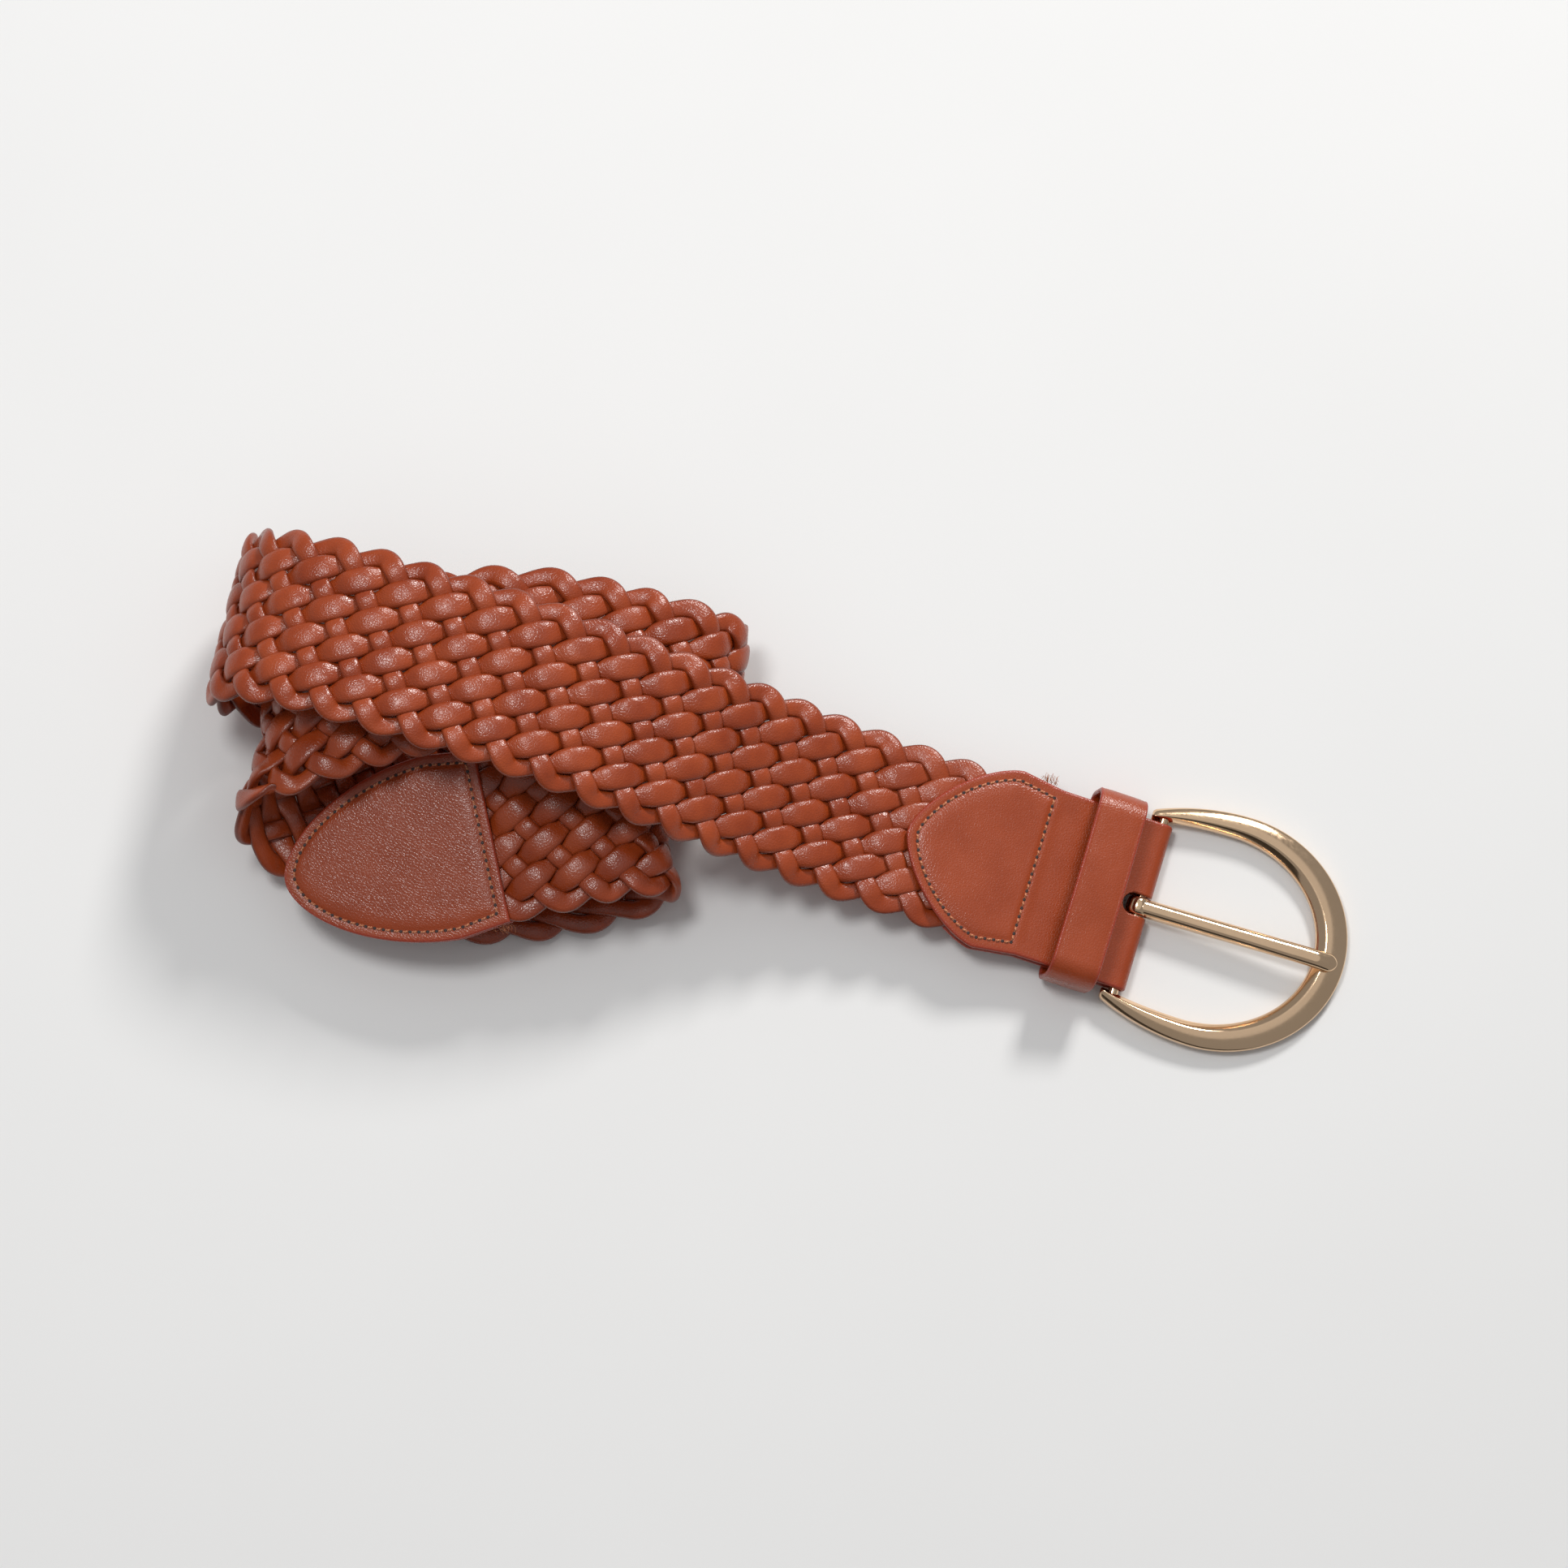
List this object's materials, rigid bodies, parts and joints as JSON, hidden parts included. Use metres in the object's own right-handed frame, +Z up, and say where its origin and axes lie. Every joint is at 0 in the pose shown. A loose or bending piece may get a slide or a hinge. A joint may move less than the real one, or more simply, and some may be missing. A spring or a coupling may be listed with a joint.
{
  "type": "braided belt",
  "caption": "Wide flat-braided leather belt lying loosely coiled, with leather ends, a D-shaped buckle with a swinging prong, and a sliding keeper.",
  "frame": {"origin": "on the surface the belt lies on, under the middle of the whole coiled belt's bounding box", "axes": "+X along the buckle from its bar towards its round end, +Z up out of the surface, +Y across the belt to the left of +X"},
  "size_m": [0.3284, 0.1156, 0.0595],
  "materials": {
    "thong_leather": "tan, softly shining, lightly creased",
    "end_leather": "tan, smooth grain, painted edges",
    "filler_leather": "matte cut edge, painted",
    "filler_board": "bonded leather board",
    "woven_tape": "plain woven tape",
    "sewing_thread": "twisted polyester thread",
    "staple_steel": "bright drawn wire",
    "pale_gold": "polished pale gold plating"
  },
  "bodies": {
    "strap": {"thong_1": "thong_leather", "thong_2": "thong_leather", "thong_3": "thong_leather", "thong_4": "thong_leather", "thong_5": "thong_leather", "thong_6": "thong_leather", "thong_7": "thong_leather", "thong_8": "thong_leather", "thong_9": "thong_leather", "thong_10": "thong_leather", "buckle_end_tape": "woven_tape", "tip_end_tape": "woven_tape", "buckle_chape": "end_leather", "chape_filler": "filler_board", "chape_stitching": "sewing_thread", "tip_front_panel": "end_leather", "tip_back_panel": "end_leather", "tip_filler": "filler_leather", "tip_stitching": "sewing_thread"},
    "buckle": {"buckle_frame": "pale_gold", "buckle_bar": "pale_gold"},
    "prong": {"buckle_prong": "pale_gold"},
    "keeper": {"keeper_loop": "end_leather", "keeper_staple": "staple_steel"}
  },
  "joints": [
    {"name": "buckle_swing", "type": "hinge", "parent": "strap", "child": "buckle", "pos_m": [0.10413, 0.01547, 0.00418], "axis": [0, 1, 0], "range_deg": [-25, 70]},
    {"name": "prong_lift", "type": "hinge", "parent": "buckle", "child": "prong", "pos_m": [0.10413, 0.01547, 0.00418], "axis": [0, -1, 0], "range_deg": [0, 60]},
    {"name": "keeper_slide", "type": "slide", "parent": "strap", "child": "keeper", "axis": [0.9877, 0, -0.1564], "range_m": [-0.009, 0.001]}
  ]
}
